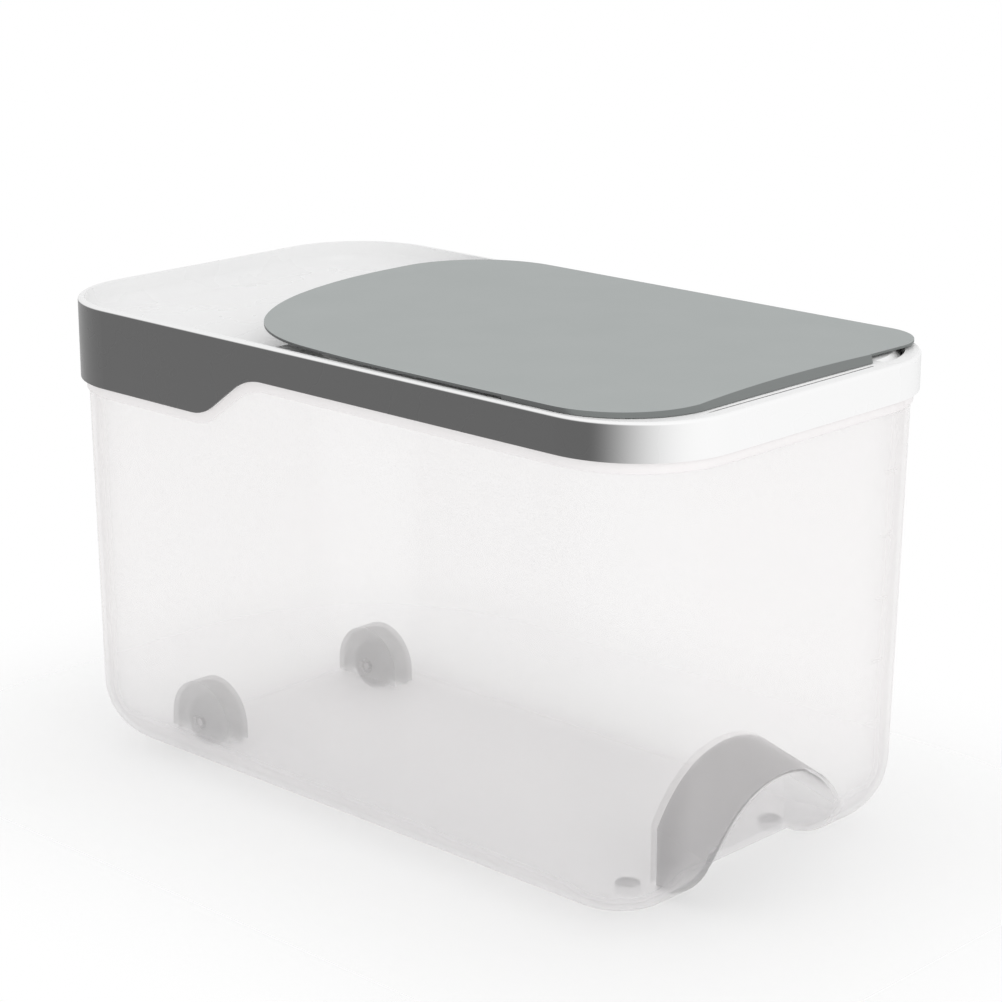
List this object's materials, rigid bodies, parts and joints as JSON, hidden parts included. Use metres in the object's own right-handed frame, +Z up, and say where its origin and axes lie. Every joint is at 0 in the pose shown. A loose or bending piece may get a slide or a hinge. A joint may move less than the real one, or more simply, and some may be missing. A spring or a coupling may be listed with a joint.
{
  "type": "rice storage bin",
  "caption": "Long rounded clear tub with an arched finger recess low in front and wheels in wells at the rear, a press-on lid frame with a deep rear skirt, and a grey lift-up pour flap.",
  "frame": {"origin": "Centre of the bin's footprint, on the ground under the wheels and feet.", "axes": "+Z up; +Y along the bin's length towards the rear, where the wheels and the deck are; +X to the right of someone who faces the rear from the front."},
  "size_m": [0.211, 0.38, 0.2264],
  "materials": {
    "clear_plastic": "translucent milky moulded plastic",
    "white_plastic": "satin moulded",
    "grey_plastic": "fine matt moulded",
    "liner_plastic": "matt moulded",
    "silicone": "soft matt silicone",
    "wheel_plastic": "matt moulded",
    "foot_rubber": "soft matt rubber",
    "steel": "drawn"
  },
  "bodies": {
    "tub": {"tub": "clear_plastic", "wheel_axle_left": "steel", "wheel_axle_right": "steel", "front_foot_left": "foot_rubber", "front_foot_right": "foot_rubber"},
    "lid": {"lid_frame": "white_plastic", "lid_gasket": "silicone", "hinge_pin_left": "steel", "hinge_pin_right": "steel"},
    "flap": {"flap_cover": "grey_plastic", "flap_liner": "liner_plastic", "flap_gasket": "silicone"},
    "wheel_left": {"rear_wheel_left": "wheel_plastic"},
    "wheel_right": {"rear_wheel_right": "wheel_plastic"}
  },
  "joints": [
    {"name": "lid_lift", "type": "slide", "parent": "tub", "child": "lid", "axis": [0, 0, 1], "range_m": [0, 0.06]},
    {"name": "flap_hinge", "type": "hinge", "parent": "lid", "child": "flap", "pos_m": [0, 0.0955, 0.2214], "axis": [-1, 0, 0], "range_deg": [0, 95]},
    {"name": "left_wheel_spin", "type": "hinge", "parent": "tub", "child": "wheel_left", "pos_m": [-0.0563, 0.131, 0.0125], "axis": [1, 0, 0], "continuous": true},
    {"name": "right_wheel_spin", "type": "hinge", "parent": "tub", "child": "wheel_right", "pos_m": [0.0563, 0.131, 0.0125], "axis": [1, 0, 0], "continuous": true}
  ]
}
